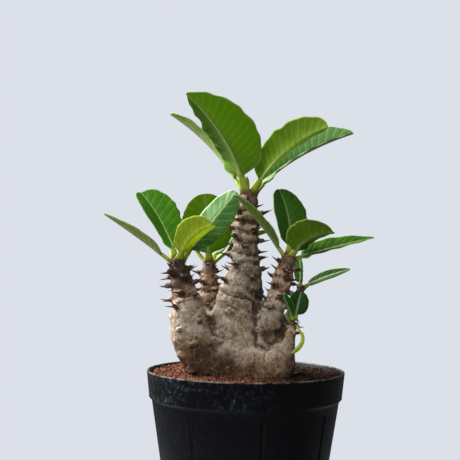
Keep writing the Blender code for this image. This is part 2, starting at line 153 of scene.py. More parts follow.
# Leaves: stem, bend and tip measured from the crown's centre, direction the upper face looks, half width,
# fold of each half in degrees, where the blade is widest, fullness, share of petiole, extra reach.
LEAVES = {
    "leaf_centre_front_left":
        ("centre", (-6.5, -12, 28), (-28.3, -19, 47.5), (0.45, 0.85, 0.3), 15.5, 42, 0.36, 1.5, 0.15, 0),
    "leaf_centre_front_right":
        ("centre", (12, -5.5, 24.5), (35.3, -14, 34), (-0.3, 0.9, 0.35), 11, 50, 0.52, 1.2, 0.14, 0),
    "leaf_centre_back_right":
        ("centre", (16, 11, 22), (49.5, 14, 33.5), (-0.35, -0.5, 0.8), 11, 35, 0.48, 1.5, 0.14, 0),
    "leaf_centre_back_left":
        ("centre", (-13, 18, 27), (-37, 21, 42), (0.7, 0, 0.7), 6, 35, 0.45, 1.5, 0.12, 0),
    "leaf_centre_bud":
        ("centre", (0, 1.5, 8), (-0.5, 1.5, 12), (0, 0.9, 0.1), 1.1, 30, 0.50, 1.2, 0.10, 0),
    "leaf_left_outer":
        ("left", (-14, -3, 11), (-33, -6, 23.4), (0.55, 0, 0.83), 5.5, 35, 0.42, 1.6, 0.15, 0),
    "leaf_left_back":
        ("left", (-5.5, 6, 20), (-18, 14, 33.5), (0.6, -0.7, 0.4), 10.5, 25, 0.55, 1.1, 0.12, 0),
    "leaf_left_front":
        ("left", (3.5, -8, 13.5), (16, -18, 18.7), (-0.1, 0.8, 0.6), 8.5, 45, 0.50, 1.1, 0.15, 0),
    "leaf_left_inner":
        ("left", (12, 0.5, 16.5), (26.5, -3, 34), (-0.15, -0.85, 0.45), 7.8, -14, 0.52, 1.2, 0.15, 0.2),
    "leaf_rear_left_front":
        ("rear_left", (-1, -2, 18), (-2.5, -6, 34.5), (0, 0.9, 0.2), 12.2, 12, 0.48, 1.0, 0.12, 0),
    "leaf_rear_left_outer":
        ("rear_left", (-7, 4, 9), (-15, 8, 16), (0.4, 0.2, 0.8), 5, 30, 0.50, 1.3, 0.30, 0),
    "leaf_rear_left_inner":
        ("rear_left", (10, 0, 11), (27, 7, 17), (-0.4, 0.2, 0.8), 4.5, 30, 0.50, 1.3, 0.30, 0),
    "leaf_rear_left_back":
        ("rear_left", (4, 9, 13), (15, 18, 23), (-0.3, -0.6, 0.5), 7.5, 20, 0.50, 1.2, 0.15, 0),
    "leaf_right_inner":
        ("right", (-9, -5, 14), (-24.5, -9, 30), (0.78, 0, 0.62), 6, 35, 0.50, 1.4, 0.15, 0),
    "leaf_right_back":
        ("right", (3, 6, 19), (-3.8, 14, 33.3), (0.5, -0.8, 0.3), 9.3, 18, 0.50, 1.1, 0.12, 0),
    "leaf_right_front":
        ("right", (7, -7, 12.5), (19, -16, 13.8), (-0.3, 0.7, 0.6), 10, 30, 0.45, 1.1, 0.15, 0),
    "leaf_right_outer":
        ("right", (14, 3, 5.4), (40, 8, 11.5), (-0.1, -0.45, 0.85), 6, 25, 0.42, 1.3, 0.12, 0),
    "leaf_rear_right_upright":
        ("rear_right", (0.3, 1, 8), (-0.3, 2, 15.5), (-0.8, -0.5, 0), 3.8, 20, 0.50, 1.1, 0.10, 0),
    "leaf_rear_right_outer":
        ("rear_right", (9, 2, 6), (23.5, 5, 9.6), (-0.2, -0.6, 0.75), 3.2, 15, 0.50, 1.3, 0.12, 0),
    "leaf_offset_round":
        ("offset", (1.5, 1.5, 7), (3.4, 4, 14), (0.2, -0.9, 0.2), 4.8, 10, 0.50, 0.9, 0.20, 0),
    "leaf_offset_narrow":
        ("offset", (-2.3, -2.5, 6), (-5, -6.5, 13.6), (0.4, 0.6, 0.3), 2.6, 40, 0.50, 1.2, 0.15, 0),
    "leaf_offset_bud":
        ("offset", (-2.5, -1.5, 0.5), (-3.8, -3, 4.5), (0.5, 0.6, 0.5), 1.0, 10, 0.50, 1.2, 0.20, 0.3),
    "leaf_offset_drooping":
        ("offset", (6.5, -6.8, -6.2), (-1.2, -9.6, -12.6), (0.6, 0.6, 0.3), 1.6, 30, 0.50, 1.2, 0.20, 2.0),
}

# How a leaf looks: upper face, underside, light through the blade, share of light let through, veins a side,
# height of the margin's waves in millimetres, waves along the blade, bluntness of the tip (smaller is blunter).
LEAF_LOOKS = {
    "leaf_centre_front_left": ("4E8A14", "5C8212", "8EB408", 0.45, 15, 0.45, 7, 0.85),
    "leaf_centre_front_right": ("4E8A14", "70901A", "98BC08", 0.48, 14, 0.35, 4, 0.85),
    "leaf_centre_back_right": ("5C8448", "8CA458", "80A030", 0.15, 16, 0.30, 5, 0.75),
    "leaf_centre_back_left": ("6A9A48", "A8C070", "98B838", 0.30, 10, 0.30, 4, 0.60),
    "leaf_centre_bud": ("8E7A4C", "9A8860", "9A8048", 0.15, 3, 0.0, 1, 1.0),
    "leaf_left_outer": ("3A6A10", "A4B468", "98A838", 0.25, 9, 0.10, 3, 1.0),
    "leaf_left_back": ("569818", "5F8A20", "78B010", 0.40, 9, 0.15, 3, 0.80),
    "leaf_left_front": ("7CA418", "A0B430", "C8D438", 0.52, 8, 0.15, 2, 0.9),
    "leaf_left_inner": ("45782A", "5F8A30", "70A010", 0.20, 9, 0.20, 4, 0.85),
    "leaf_rear_left_front": ("4A8A10", "62860C", "90B408", 0.45, 8, 0.15, 2, 1.0),
    "leaf_rear_left_outer": ("4E8A14", "7C9A28", "88A810", 0.30, 5, 0.10, 2, 1.0),
    "leaf_rear_left_inner": ("5A9014", "7C9A28", "88A810", 0.30, 5, 0.10, 2, 1.0),
    "leaf_rear_left_back": ("3C7A38", "5F8A30", "60A010", 0.25, 7, 0.15, 3, 1.0),
    "leaf_right_inner": ("3C6014", "76903C", "80A020", 0.25, 8, 0.15, 3, 1.0),
    "leaf_right_back": ("3A6A10", "3F6A18", "58A810", 0.25, 9, 0.20, 3, 1.0),
    "leaf_right_front": ("4A7A10", "66841A", "90B010", 0.40, 8, 0.15, 3, 1.0),
    "leaf_right_outer": ("437318", "98AC48", "90A820", 0.20, 10, 0.20, 4, 1.0),
    "leaf_rear_right_upright": ("2F6414", "345F14", "50A010", 0.20, 5, 0.08, 2, 1.0),
    "leaf_rear_right_outer": ("345A28", "6F8F50", "60A010", 0.15, 7, 0.08, 2, 1.0),
    "leaf_offset_round": ("18480A", "1C4E0E", "40A010", 0.10, 4, 0.08, 2, 1.0),
    "leaf_offset_narrow": ("1A4A0A", "265F10", "40A010", 0.15, 4, 0.08, 2, 1.0),
    "leaf_offset_bud": ("90A034", "98AA40", "A0B820", 0.30, 2, 0.0, 1, 1.0),
    "leaf_offset_drooping": ("98AC20", "A6BC30", "B0C810", 0.35, 3, 0.0, 1, 1.0),
}
RAGGED = {"leaf_centre_front_left": 0.16, "leaf_centre_back_right": 0.07}
LOPSIDED = {"leaf_centre_front_right": 0.45}
BOLD_RIB = ("leaf_left_back", "leaf_centre_front_left", "leaf_centre_front_right", "leaf_centre_back_right")
YOUNG = ("leaf_left_front", "leaf_offset_bud", "leaf_offset_drooping", "leaf_centre_bud")

# Camera and light
CAMERA_PLACE = Vector((-8.06, -524.9, 143.8)) * MM
CAMERA_ROLL = math.radians(-0.8)
CAMERA_LENS = 90
BACKDROP = "DCE0E9"


# ---------------------------------------------------------------- shader maths

def linear(hex_colour):
    """A written colour such as 4E8A1E in linear light."""
    shares = [int(hex_colour[start:start + 2], 16) / 255 for start in (0, 2, 4)]
    return tuple(s / 12.92 if s <= 0.04045 else ((s + 0.055) / 1.055) ** 2.4 for s in shares)


class Value:
    """A number in a shader: an expression on it adds the Math nodes that work it out."""

    def __init__(self, finish, socket):
        self.finish = finish
        self.socket = socket

    def math(self, operation, *others):
        return self.finish.node("Math", {"operation": operation}, dict(enumerate((self, *others))))

    def __add__(self, other):
        return self.math("ADD", other)

    def __radd__(self, other):
        return self.math("ADD", other)

    def __sub__(self, other):
        return self.math("SUBTRACT", other)

    def __rsub__(self, other):
        return self.finish.node("Math", {"operation": "SUBTRACT"}, {0: other, 1: self})

    def __mul__(self, other):
        return self.math("MULTIPLY", other)

    def __rmul__(self, other):
        return self.math("MULTIPLY", other)

    def __truediv__(self, other):
        return self.math("DIVIDE", other)

    def __pow__(self, other):
        return self.math("POWER", other)

    def size(self):
        return self.math("ABSOLUTE")

    def fraction(self):
        return self.math("FRACT")

    def least(self, other):
        return self.math("MINIMUM", other)

    def rise(self, low, high):
        """0 at low, 1 at high, eased between them; low may be the larger one."""
        return self.finish.node("MapRange", {"interpolation_type": "SMOOTHSTEP"},
                                {"Value": self, "From Min": low, "From Max": high})


class Finish:
    """A material under construction."""

    def __init__(self, name):
        self.material = bpy.data.materials.new(name)
        self.material.use_nodes = True
        self.tree = self.material.node_tree
        self.tree.nodes.clear()

    def node(self, kind, settings=None, inputs=None, output=0):
        made = self.tree.nodes.new("ShaderNode" + kind)
        for key, value in (settings or {}).items():
            setattr(made, key, value)
        for key, value in (inputs or {}).items():
            self.plug(made.inputs[key], value)
        return Value(self, made.outputs[output])

    def plug(self, socket, value):
        if isinstance(value, Value):
            self.tree.links.new(value.socket, socket)
        elif isinstance(value, tuple) and socket.type == "RGBA" and len(value) == 3:
            socket.default_value = (*value, 1)
        else:
            socket.default_value = value

    def place(self):
        return self.node("TexCoord", output="Object")

    def attribute(self, name):
        return self.node("Attribute", {"attribute_name": name}, output="Fac")

    def split(self, vector):
        axes = self.node("SeparateXYZ", inputs={"Vector": vector}).socket.node
        return [Value(self, axis) for axis in axes.outputs]

    def joined(self, x, y, z):
        return self.node("CombineXYZ", inputs={"X": x, "Y": y, "Z": z})

    def noise(self, vector, scale, detail=4.0, rough=0.55, warp=0.0):
        return self.node("TexNoise", inputs={"Vector": vector, "Scale": scale, "Detail": detail,
                                             "Roughness": rough, "Distortion": warp}, output="Fac")

    def cells(self, vector, scale, feature="F1"):
        return self.node("TexVoronoi", {"feature": feature}, {"Vector": vector, "Scale": scale},
                         output="Distance")

    def mix(self, factor, first, second, way="MIX"):
        """Two colours blended by a factor."""
        made = self.node("Mix", {"data_type": "RGBA", "blend_type": way, "clamp_factor": True},
                         {0: factor, 6: first, 7: second}, output=2)
        return made

    def bump(self, height, distance, strength=1.0):
        return self.node("Bump", inputs={"Height": height, "Distance": distance, "Strength": strength})

    def principled(self, **inputs):
        named = {key.replace("_", " ").title(): value for key, value in inputs.items()}
        for wrong, right in (("Specular Level", "Specular IOR Level"), ("Ior", "IOR")):
            if wrong in named:
                named[right] = named.pop(wrong)
        return self.node("BsdfPrincipled", inputs=named)

    def done(self, shader):
        out = self.tree.nodes.new("ShaderNodeOutputMaterial")
        self.tree.links.new(shader.socket, out.inputs["Surface"])
        return self.material


def pot_finish():
    """Soft black plastic: faint dust, dry scuffs on the band and a rubbed rim edge; the dust fades out towards the
    right, a painted highlight on the lit left side.
    """
    f = Finish("black pot plastic")
    place = f.place()
    x, y, z = f.split(place)
    band = z.rise(66 * MM, 69 * MM)
    cloudy = f.noise(place, 45, 5, 0.6)
    upright = f.joined(x, y, z * 0.22)
    scratches = f.noise(upright, 900, 3, 0.6).rise(0.60, 0.74)
    runs = f.noise(upright, 420, 6, 0.7, 0.4).rise(0.54, 0.8)
    patches = f.noise(place, 480, 6, 0.7, 0.4).rise(0.50, 0.78) + runs * 0.6
    specks = f.noise(place, 1100, 2, 0.5).rise(0.70, 0.76)
    dust = (patches * 0.55 + scratches * 0.35) * (band * 0.86 + 0.14) * cloudy.rise(0.36, 0.58) + specks * 0.3
    edge = z.rise(79.3 * MM, 79.8 * MM) * f.noise(place, 240, 4, 0.6).rise(0.35, 0.6) * 0.75
    black = f.mix(cloudy, linear("08080A"), linear("0F1012"))
    # Real dust and scuffs, faded out towards the right: their left-side strength is a painted highlight where the
    # light falls.
    dust_and_left_light = f.mix(dust * x.rise(40 * MM, -25 * MM), black, linear("6C7686"))
    colour = f.mix(edge, dust_and_left_light, linear("7A7068"))
    rough = (dust * 0.3 + 0.42).least(0.85)
    grain = f.noise(place, 1500, 4, 0.6) * 0.6 + f.noise(upright, 300, 3, 0.5)
    return f.done(f.principled(base_color=colour, roughness=rough, specular_level=0.10,
                               normal=f.bump(grain, 0.06 * MM, 0.5)))


def soil_finish(name, loose):
    """Baked clay: each loose grain has its own tone, the grains darken towards the right as a painted shadow, and
    the bed below is darker.
    """
    f = Finish(name)
    place = f.place()
    fine = f.noise(place, 1400, 4, 0.65)
    if loose:
        tone = f.attribute("tone")
        colour = f.mix(tone, linear("4C2A1A"), linear("8E5C42"))
        colour = f.mix(fine.rise(0.35, 0.75), f.mix(tone, linear("321A10"), linear("68402C")), colour)
        # Painted shadow: the grains darken towards the right, where the trunk shades them.
        painted_shadow_right = f.split(place)[0].rise(-4 * MM, 22 * MM) * 0.88
        colour = f.mix(painted_shadow_right, colour, linear("1E120B"))
    else:
        clods = f.cells(place, 620)
        colour = f.mix(clods.rise(0.1, 0.7), linear("4A2818"), linear("20110A"))
        colour = f.mix(fine.rise(0.4, 0.7) * 0.5, colour, linear("664330"))
    bump = f.bump(fine, 0.25 * MM, 0.6)
    return f.done(f.principled(base_color=colour, roughness=0.95, specular_level=0.2, normal=bump))


def bark_finish():
    """Grey-brown skin: tan near the crowns, paler where it faces up as painted top light, browner below, darker in
    folds and hollows as painted shade, paler on bumps as painted highlights, dark on knobs.
    """
    f = Finish("pachypodium bark")
    place = f.place()
    x, y, z = f.split(place)
    depth, knob, worn, hollow, ring, up, stain, pale = (
        f.attribute(name) for name in ("depth", "knob", "worn", "hollow", "ring", "up", "stain", "pale"))
    broad = f.noise(place, 75, 4, 0.55)
    middle = f.noise(place, 260, 5, 0.6, 0.4)
    fine = f.noise(place, 1300, 5, 0.65)
    upper = z.rise(100 * MM, 110 * MM)
    rings = f.noise(f.joined(x * 110, y * 110, ring), 1.5, 4, 0.6, 0.5)
    warped = f.node("VectorMath", {"operation": "MULTIPLY_ADD"},
                    {0: f.node("TexNoise", inputs={"Vector": place, "Scale": 500}, output="Color"),
                     1: (0.0014, 0.0014, 0.0014), 2: f.joined(x, y, z * 0.55)})
    cracks = f.cells(warped, 900, "DISTANCE_TO_EDGE").rise(0.09, 0.0) * f.noise(place, 240, 3).rise(0.36, 0.6)
    brown = f.mix(middle.rise(0.35, 0.65), linear("785838"), linear("A5835C"))
    grey = f.mix(middle.rise(0.35, 0.65), linear("978470"), linear("C8B5A2"))
    low_down = z.rise(93 * MM, 80 * MM)
    fold = f.attribute("fold")
    # Paler grey where the smoothed skin faces up is painted top light; the bleach and highlight spots, random tone
    # and a browner foot also steer it.
    top_light_and_bleach = (up + (broad - 0.5) * 0.8 + pale * 0.85 - low_down * 0.35).rise(-0.25, 0.55)
    skin = f.mix(top_light_and_bleach, brown, grey)
    weathered = x.rise(-18 * MM, -13 * MM) * x.rise(12 * MM, 7 * MM) * z.rise(104 * MM, 112 * MM)
    skin = f.mix((broad.rise(0.48, 0.62) * 0.4 + 0.4) * weathered, skin, linear("5C5845"))
    skin = f.mix(rings.rise(0.50, 0.70) * upper * 0.45, skin, linear("C4B8AA"))
    skin = f.mix(rings.rise(0.46, 0.30) * upper * 0.50, skin, linear("4A3C2E"))
    young = f.mix(middle.rise(0.36, 0.56), linear("74492F"), linear("C29E7A"))
    skin = f.mix((depth + (broad - 0.5) * 0.6).rise(0.12, 0.42), young, skin)
    # Painted shade darkens the hollows, and a painted highlight lightens the bumps.
    skin = f.mix(hollow.rise(0.52, 0.85) * 0.8, skin, linear("38291D"))
    skin = f.mix(hollow.rise(0.42, 0.12) * 0.5, skin, linear("CFC2B5"))
    skin = f.mix(depth.rise(0.06, 0.02) * 0.7, skin, linear("4A2F20"))
    # A darker collar high on the left stem: partly dark brown bark, partly painted shade.
    skin = f.mix(depth.rise(0.30, 0.10) * x.rise(-20 * MM, -25 * MM) * 0.9, skin, linear("2C1D14"))
    patchy = f.noise(place, 420, 4, 0.65)
    # Painted shade in the fold between the stems and the lower bulge.
    skin = f.mix(fold.rise(0.20, 0.85) * 0.5, skin, linear("3E2A1B"))
    skin = f.mix(low_down * broad.rise(0.34, 0.56) * (1 - pale) * 0.45, skin, linear("5E4128"))
    # Dark spots: partly stains, partly painted shade under the bulges.
    stain_and_shade_mask = (stain + (patchy - 0.5) * 0.9 + (broad - 0.5) * 0.6).rise(0.14, 0.80)
    skin = f.mix(stain_and_shade_mask * 0.82, skin, linear("3A2718"))
    skin = f.mix(fine.rise(0.54, 0.66) * patchy.rise(0.42, 0.6) * 0.35, skin, linear("45342A"))
    skin = f.mix(f.noise(warped, 1500, 3, 0.6).rise(0.50, 0.40) * 0.16, skin, linear("3F3022"))
    skin = f.mix(f.noise(warped, 900, 3, 0.6).rise(0.56, 0.70) * 0.35, skin, linear("CFC4B6"))
    skin = f.mix(cracks * 0.5, skin, linear("3A2B1E"))
    skin = f.mix(worn.rise(0.60, 0.95) * middle.rise(0.34, 0.50) * 0.8, skin, linear("5B3A29"))
    skin = f.mix(knob.rise(0.25, 0.75) * 0.85, skin, linear("4E2C1E"))
    wrinkles = f.noise(f.joined(x * 60, y * 60, ring), 3.4, 3, 0.55, 0.3) * upper
    bump = fine * 0.8 + middle * 0.6 + wrinkles * 0.8 - cracks * 0.9
    return f.done(f.principled(base_color=skin, roughness=0.75, specular_level=0.3,
                               normal=f.bump(bump, 0.5 * MM, 0.8)))


def spine_finish():
    f = Finish("dark spine horn")
    along = f.attribute("along")
    grain = f.noise(f.place(), 1500, 3, 0.6)
    colour = f.mix(along.rise(0.0, 0.5), linear("6E4636"), linear("2A1813"))
    colour = f.mix(grain.rise(0.45, 0.7) * 0.35, colour, linear("7A5344"))
    return f.done(f.principled(base_color=colour, roughness=0.5, normal=f.bump(grain, 0.05 * MM, 0.5)))


def leaf_finish(name, row, looks, upper):
    """One face of a leaf: veined blade, pale midrib and margin, fleshy stalk with a reddish foot."""
    top, under, glow, share, veins, wave, waves, blunt = looks
    f = Finish(name + ("_upper" if upper else "_under"))
    place = f.place()
    blade, side, off, edge = (f.attribute(word) for word in ("blade", "side", "off", "edge"))
    main = linear(top if upper else under)
    light = tuple(min(1, part * 1.9 + 0.05) for part in main)
    dark = tuple(part * 0.55 for part in main)
    cloudy = f.noise(place, 160, 4, 0.6)
    fine = f.noise(place, 1600, 4, 0.6)
    dim = tuple(part * 0.8 for part in main)
    bright = tuple(part * 1.15 for part in main)
    colour = f.mix(cloudy.rise(0.3, 0.7), dim, bright)
    on_blade = blade.rise(0.0, 0.08)
    bent = (blade * veins - side * 1.6 + (cloudy - 0.5) * 0.25).fraction()
    line = (bent - 0.5).size().rise(0.40, 0.495) * on_blade * side.rise(0.96, 0.75)
    net = f.cells(place, 1100, "DISTANCE_TO_EDGE").rise(0.10, 0.02) * on_blade
    colour = f.mix(line * (0.22 if upper else 0.34), colour, light)
    colour = f.mix(net * 0.12, colour, light)
    colour = f.mix(side.rise(0.5, 0.0) * (0.12 if upper else 0.30), colour, light)
    colour = f.mix((1 - line) * (bent - 0.5).size().rise(0.4, 0.2) * 0.18, colour, dark)
    rib_width = (1 - blade) * (0.55 if upper else 0.85) + 0.22
    rib = (off / rib_width).rise(1.15, 0.55)
    bold = 0.9 if name in BOLD_RIB else 0.15 if name in YOUNG else 0.5
    colour = f.mix(rib * on_blade * bold, colour, linear("C9D8A0" if upper else "BFCA88"))
    rim = edge.rise(0.05 * row[4], 0.015 * row[4]) * on_blade
    colour = f.mix(rim * 0.6, colour, linear("B4CF7A"))
    stalk = 1 - on_blade
    stalk_colour = f.mix(f.attribute("along").rise(0.09, 0.03), linear("A9BE48"), linear("7C6438"))
    colour = f.mix(stalk, colour, stalk_colour)
    puffed = (bent - 0.5).size().rise(0.5, 0.25)
    relief = puffed * 0.5 * on_blade + fine * 0.10 + (1 - net) * 0.08
    roughness, specular, sheen, depth = (0.45, 0.26, 0.0, 0.20) if upper else (0.6, 0.08, 0.05, 0.08)
    body = f.principled(base_color=colour, roughness=roughness, specular_level=specular, sheen_weight=sheen,
                        normal=f.bump(relief, depth * MM, 0.7))
    through = f.node("BsdfTranslucent", inputs={"Color": linear(glow)})
    clear = on_blade * (1 - rib * (0.6 * bold)) * (1 - cloudy * 0.25) * share
    both = f.node("MixShader", inputs={0: clear, 1: body, 2: through})
    return f.done(both)


# ---------------------------------------------------------------- building tools

def new_piece(name, bm, *finishes, smooth=True):
    for face in bm.faces:
        face.smooth = smooth
    mesh = bpy.data.meshes.new(name)
    bm.to_mesh(mesh)
    bm.free()
    piece = bpy.data.objects.new(name, mesh)
    for finish in finishes:
        mesh.materials.append(finish)
    bpy.context.scene.collection.objects.link(piece)
    return piece


def in_frame(piece, slot, *nodes):
    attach(piece, "root")
    if nodes:
        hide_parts(*nodes)


def bake_modifiers(piece):
    """Turns the piece into its modified mesh."""
    bpy.context.view_layer.update()
    shown = piece.evaluated_get(bpy.context.evaluated_depsgraph_get())
    mesh = bpy.data.meshes.new_from_object(shown)
    piece.modifiers.clear()
    piece.data = mesh
    return mesh


def cut(piece, bm):
    cutter = new_piece(piece.name + "_cutter", bm)
    modifier = piece.modifiers.new("cut", "BOOLEAN")
    modifier.operation = "DIFFERENCE"
    modifier.solver = "EXACT"
    modifier.object = cutter
    bake_modifiers(piece)
    bpy.data.objects.remove(cutter, do_unlink=True)


def facing(direction, across):
    """A rotation whose Z looks along direction and whose X lies near across."""
    z = direction.normalized()
    x = (across - z * across.dot(z)).normalized()
    return Matrix((x, z.cross(x), z)).transposed()


# ---------------------------------------------------------------- pot

def body_radius(height):
    """The pot's outer radius below the band."""
    top = POT_HEIGHT - BAND_HEIGHT
    widest = RIM_RADIUS - BAND_TAPER - BAND_STEP
    return BASE_RADIUS + (widest - BASE_RADIUS) * height / top


def build_pot():
    band_foot = POT_HEIGHT - BAND_HEIGHT
    band_radius = RIM_RADIUS - BAND_TAPER
    rise = [(body_radius(h * MM), h * MM) for h in (3, 8, 16, 26, 36, 46, 55, 62, 66.4)]
    band = [(band_radius + BAND_TAPER * share, band_foot + 1.0 * MM + (BAND_HEIGHT - 1.6 * MM) * share)
            for share in (0, 0.3, 0.6, 1)]
    inner = [(body_radius(h * MM) - WALL, h * MM) for h in (65.6, 50, 30, 12, 3.4)]
    profile = [
        (0, 0.5 * MM), (9 * MM, 0.5 * MM), (11 * MM, 0), (BASE_RADIUS - 2.0 * MM, 0),
        (BASE_RADIUS - 0.9 * MM, 0.15 * MM), (BASE_RADIUS - 0.25 * MM, 0.7 * MM), (body_radius(1.6 * MM), 1.6 * MM),
        *rise,
        (body_radius(66.4 * MM) + 0.35 * MM, 67.2 * MM), (band_radius - 0.35 * MM, 67.7 * MM),
        (band_radius + 0.02 * MM, 68.2 * MM),
        *band,
        (RIM_RADIUS, POT_HEIGHT - 0.45 * MM), (RIM_RADIUS - 0.22 * MM, POT_HEIGHT - 0.08 * MM),
        (RIM_RADIUS - 0.5 * MM, POT_HEIGHT), (RIM_RADIUS - 0.9 * MM, POT_HEIGHT - 0.05 * MM),
        (RIM_RADIUS - WALL, POT_HEIGHT - 0.5 * MM), (band_radius - WALL, band_foot),
        *inner,
        (body_radius(FLOOR) - WALL - 1.5 * MM, FLOOR), (0, FLOOR),
    ]
    bm = bmesh.new()
    points = [bm.verts.new((radius, 0, height)) for radius, height in profile]
    edges = [bm.edges.new(pair) for pair in zip(points, points[1:])]
    bmesh.ops.spin(bm, geom=points + edges, cent=(0, 0, 0), axis=(0, 0, 1), angle=TURN, steps=POT_STEPS,
                   use_merge=True)
    bmesh.ops.remove_doubles(bm, verts=bm.verts[:], dist=0.005 * MM)
    bmesh.ops.recalc_face_normals(bm, faces=bm.faces[:])
    pot = new_piece("nursery_pot", bm, pot_finish())
    cut(pot, groove_bars())
    cut(pot, drain_plugs())
    pot.data.shade_smooth()
    pot.data.set_sharp_from_angle(angle=math.radians(38))
    in_frame(pot, "pot_plastic", "pot")


def groove_bars():
    """Round-ended bars lying just outside the tapered wall."""
    bm = bmesh.new()
    for index in range(GROOVES):
        turn = Matrix.Rotation(GROOVE_TURN + index * TURN / GROOVES, 4, "Z")
        ends = []
        for height in (GROOVE_FOOT, GROOVE_TOP):
            out = body_radius(height) + GROOVE_RADIUS - GROOVE_DEPTH
            ends.append(turn @ Vector((0, -out, height)))
        along = ends[1] - ends[0]
        tilt = along.to_track_quat("Z", "Y").to_matrix().to_4x4()
        bar = bmesh.ops.create_uvsphere(bm, u_segments=20, v_segments=16, radius=GROOVE_RADIUS)["verts"]
        for vert in bar:
            stretch = along.length if vert.co.z > 1e-6 else 0
            vert.co = ends[0] + tilt @ (vert.co + Vector((0, 0, stretch)))
    return bm


def drain_plugs():
    bm = bmesh.new()
    for index in range(DRAIN_HOLES):
        turn = Matrix.Rotation((index + 0.5) * TURN / DRAIN_HOLES, 4, "Z")
        place = turn @ Matrix.Translation((DRAIN_RING, 0, 0.5 * FLOOR))
        bmesh.ops.create_cone(bm, cap_ends=True, segments=32, radius1=DRAIN_RADIUS, radius2=DRAIN_RADIUS,
                              depth=3 * FLOOR, matrix=place)
    return bm


# ---------------------------------------------------------------- trunk, stems and spines

def add_ball(bm, centre, radius):
    bmesh.ops.create_icosphere(bm, subdivisions=4, radius=radius, matrix=Matrix.Translation(centre))


def add_taper(bm, start, end):
    """A tapered limb between two (x, y, z, radius) points, with a ball on its start."""
    first, second = Vector(start[:3]) * MM, Vector(end[:3]) * MM
    along = second - first
    tilt = along.to_track_quat("Z", "Y").to_matrix().to_4x4()
    bmesh.ops.create_cone(bm, cap_ends=True, segments=48, radius1=start[3] * MM, radius2=end[3] * MM,
                          depth=along.length, matrix=Matrix.Translation((first + second) / 2) @ tilt)
    add_ball(bm, first, start[3] * MM)


def point_below_crown(name, distance):
    """Axis point, radius and upward direction of a stem at a distance below its crown."""
    nodes = STEMS[name]
    for upper, lower in zip(nodes, nodes[1:]):
        top, foot = Vector(upper[:3]) * MM, Vector(lower[:3]) * MM
        length = (top - foot).length
        if distance <= length:
            share = distance / length
            radius = (upper[3] + (lower[3] - upper[3]) * share) * MM
            return top.lerp(foot, share), radius, (top - foot).normalized()
        distance -= length
    return foot, lower[3] * MM, (top - foot).normalized()


def knobs():
    """(place on the stem's skin, outward direction, direction along the stem, size) of every spined knob."""
    chance = random.Random(7)
    for name, (first, last, spacing, turn, large) in SPINED.items():
        count = int((last - first) / spacing)
        for index in range(count):
            distance = (first + index * spacing) * MM
            centre, radius, up = point_below_crown(name, distance)
            angle = math.radians(turn) + index * GOLDEN_ANGLE + chance.uniform(-0.2, 0.2)
            across = up.orthogonal().normalized()
            outward = Matrix.Rotation(angle, 3, up) @ across
            size = large * (1 - 0.25 * index / count) * chance.uniform(0.8, 1.1)
            yield centre + outward * radius, outward, up, size * min(1, radius / (3.2 * MM))


def worn_knobs(surface):
    """(place on the skin, size) of the old knobs below the spined ones."""
    chance = random.Random(5)
    for name, (last, spacing) in WORN.items():
        distance = SPINED[name][1]
        index = 0
        while distance < last:
            centre, radius, up = point_below_crown(name, distance * MM)
            angle = index * GOLDEN_ANGLE + chance.uniform(-0.3, 0.3)
            outward = Matrix.Rotation(angle, 3, up) @ up.orthogonal().normalized()
            place = surface.find_nearest(centre + outward * radius)[0]
            if (place - centre - outward * radius).length < 5 * MM:
                yield place, chance.uniform(0.6, 1.2)
            distance += spacing
            index += 1


def add_knob(bm, place, outward, up, size):
    """A ledge-like wedge, wide around the stem and blunt at its lip."""
    lift = (outward + up * 0.30).normalized()
    turn = facing(lift, up.cross(outward)).to_4x4()
    shape = Matrix.Diagonal((KNOB_WIDE * size, KNOB_TALL * size, KNOB_OUT * size, 1))
    middle = place + lift * 0.1 * KNOB_OUT * size
    bmesh.ops.create_cone(bm, cap_ends=True, segments=20, radius1=1.0, radius2=0.34, depth=2.0,
                          matrix=Matrix.Translation(middle) @ turn @ shape)


def one_skin(piece, smoothing):
    """Melts overlapping shapes into one even skin."""
    skin = piece.modifiers.new("one skin", "REMESH")
    skin.mode = "VOXEL"
    skin.voxel_size = VOXEL
    soft = piece.modifiers.new("soft joins", "SMOOTH")
    soft.factor = 0.5
    soft.iterations = smoothing
    return bake_modifiers(piece)


def trunk_body():
    """Limbs and swollen body melted together, softened low down, then set with knobs."""
    bm = bmesh.new()
    for limb in list(STEMS.values()) + ROOTS:
        for start, end in zip(limb, limb[1:]):
            add_taper(bm, start, end)
        add_ball(bm, Vector(limb[-1][:3]) * MM, limb[-1][3] * MM)
    for *centre, radius in TRUNK:
        add_ball(bm, Vector(centre) * MM, radius * MM)
    piece = new_piece("trunk_bark", bm, bark_finish())
    mesh = one_skin(piece, 2)
    points = vertex_places(mesh)
    softened = relaxed(points, edge_pairs(mesh), 26)
    height = points[:, 2]
    low = np.clip((116 * MM - height) / (14 * MM), 0, 1) * np.clip((height - 70 * MM) / (5 * MM), 0, 1)
    points = points + (softened - points) * low[:, None]
    mesh.vertices.foreach_set("co", points.ravel())
    bm = bmesh.new()
    bm.from_mesh(mesh)
    for place, outward, up, size in knobs():
        add_knob(bm, place, outward, up, size)
    bm.to_mesh(mesh)
    bm.free()
    one_skin(piece, 2)
    return piece


